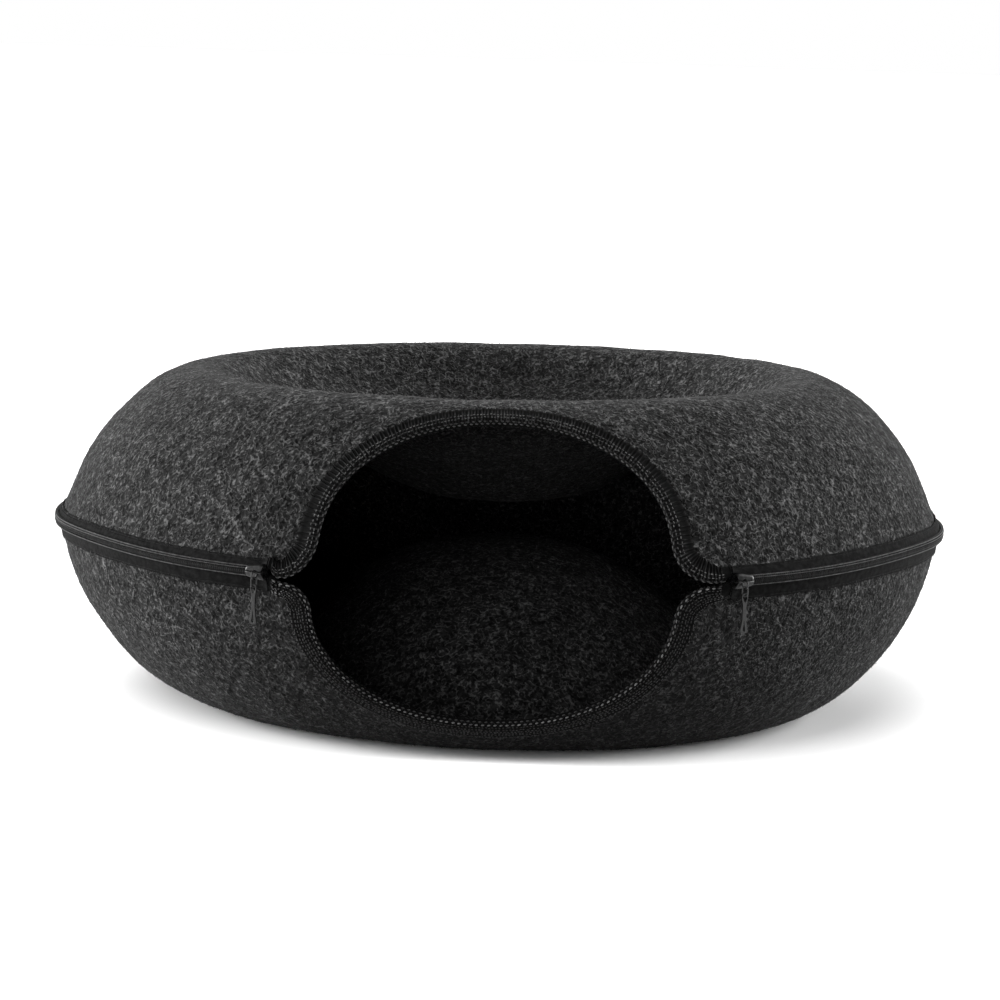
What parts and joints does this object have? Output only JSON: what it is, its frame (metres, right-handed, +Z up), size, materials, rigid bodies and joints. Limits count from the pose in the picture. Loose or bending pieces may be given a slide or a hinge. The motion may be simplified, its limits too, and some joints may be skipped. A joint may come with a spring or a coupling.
{
  "type": "felt cat cave",
  "caption": "Round flat felt cat cave with a dished top, zipped round its waist, with an oval doorway in front that leads into a ring-shaped tunnel.",
  "frame": {"origin": "centre of the bounding box's footprint, on the floor", "axes": "+Z up, the doorway faces -Y, +X is to the right of a person who looks into the doorway"},
  "size_m": [0.5013, 0.4785, 0.1866],
  "materials": {
    "felt": "heathered charcoal needle felt, matt, with pale short fibres",
    "edging": "black overlock thread, matt",
    "zip_tape": "black woven tape, matt",
    "zip_coil": "black nylon coil, satin",
    "metal": "dark gunmetal, satin"
  },
  "bodies": {
    "root": {"felt_top": "felt", "felt_bottom": "felt", "edging_top": "edging", "edging_bottom": "edging", "zip_tape_top": "zip_tape", "zip_tape_bottom": "zip_tape", "zip_coil_top": "zip_coil", "zip_coil_bottom": "zip_coil", "slider_left": "metal", "ring_left": "metal", "link_left": "metal", "pull_left": "metal", "slider_right": "metal", "ring_right": "metal", "link_right": "metal", "pull_right": "metal"}
  },
  "joints": []
}
